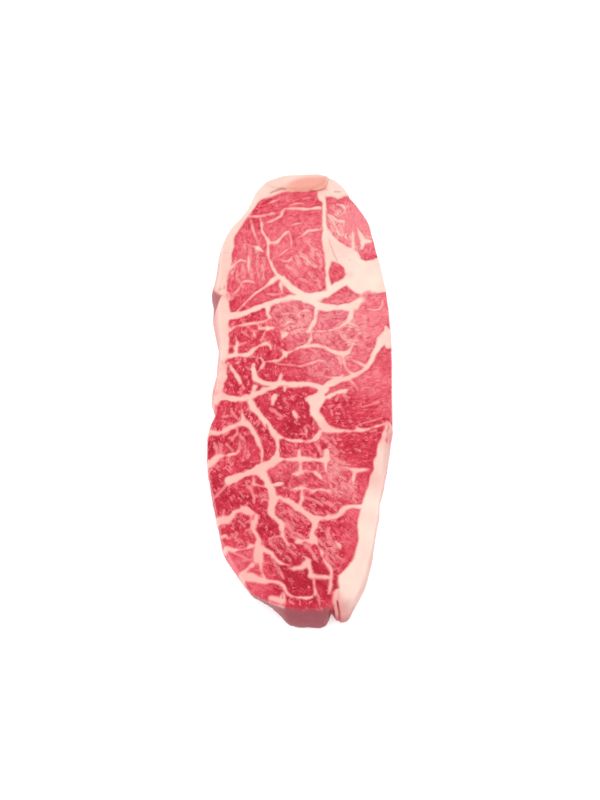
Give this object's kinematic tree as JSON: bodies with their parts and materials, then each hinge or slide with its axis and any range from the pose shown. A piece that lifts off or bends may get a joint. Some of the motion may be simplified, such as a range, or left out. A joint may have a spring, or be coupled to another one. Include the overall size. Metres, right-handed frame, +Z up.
{
  "type": "raw sirloin steak",
  "caption": "Long oval raw beef sirloin steak with a marbled cut face, a cap of fat along one side and a tapering wedge of fat at its tail, lying flat.",
  "frame": {"origin": "middle of the bounding box, on the flat underside that the steak rests on", "axes": "+Y along the steak, towards the end with the fat lip; +Z up, out of the marbled cut face; +X towards the side with the wedge of fat"},
  "size_m": [0.093, 0.238, 0.0215],
  "materials": {
    "raw_beef": "moist satin"
  },
  "bodies": {
    "root": {"steak": "raw_beef"}
  },
  "joints": []
}
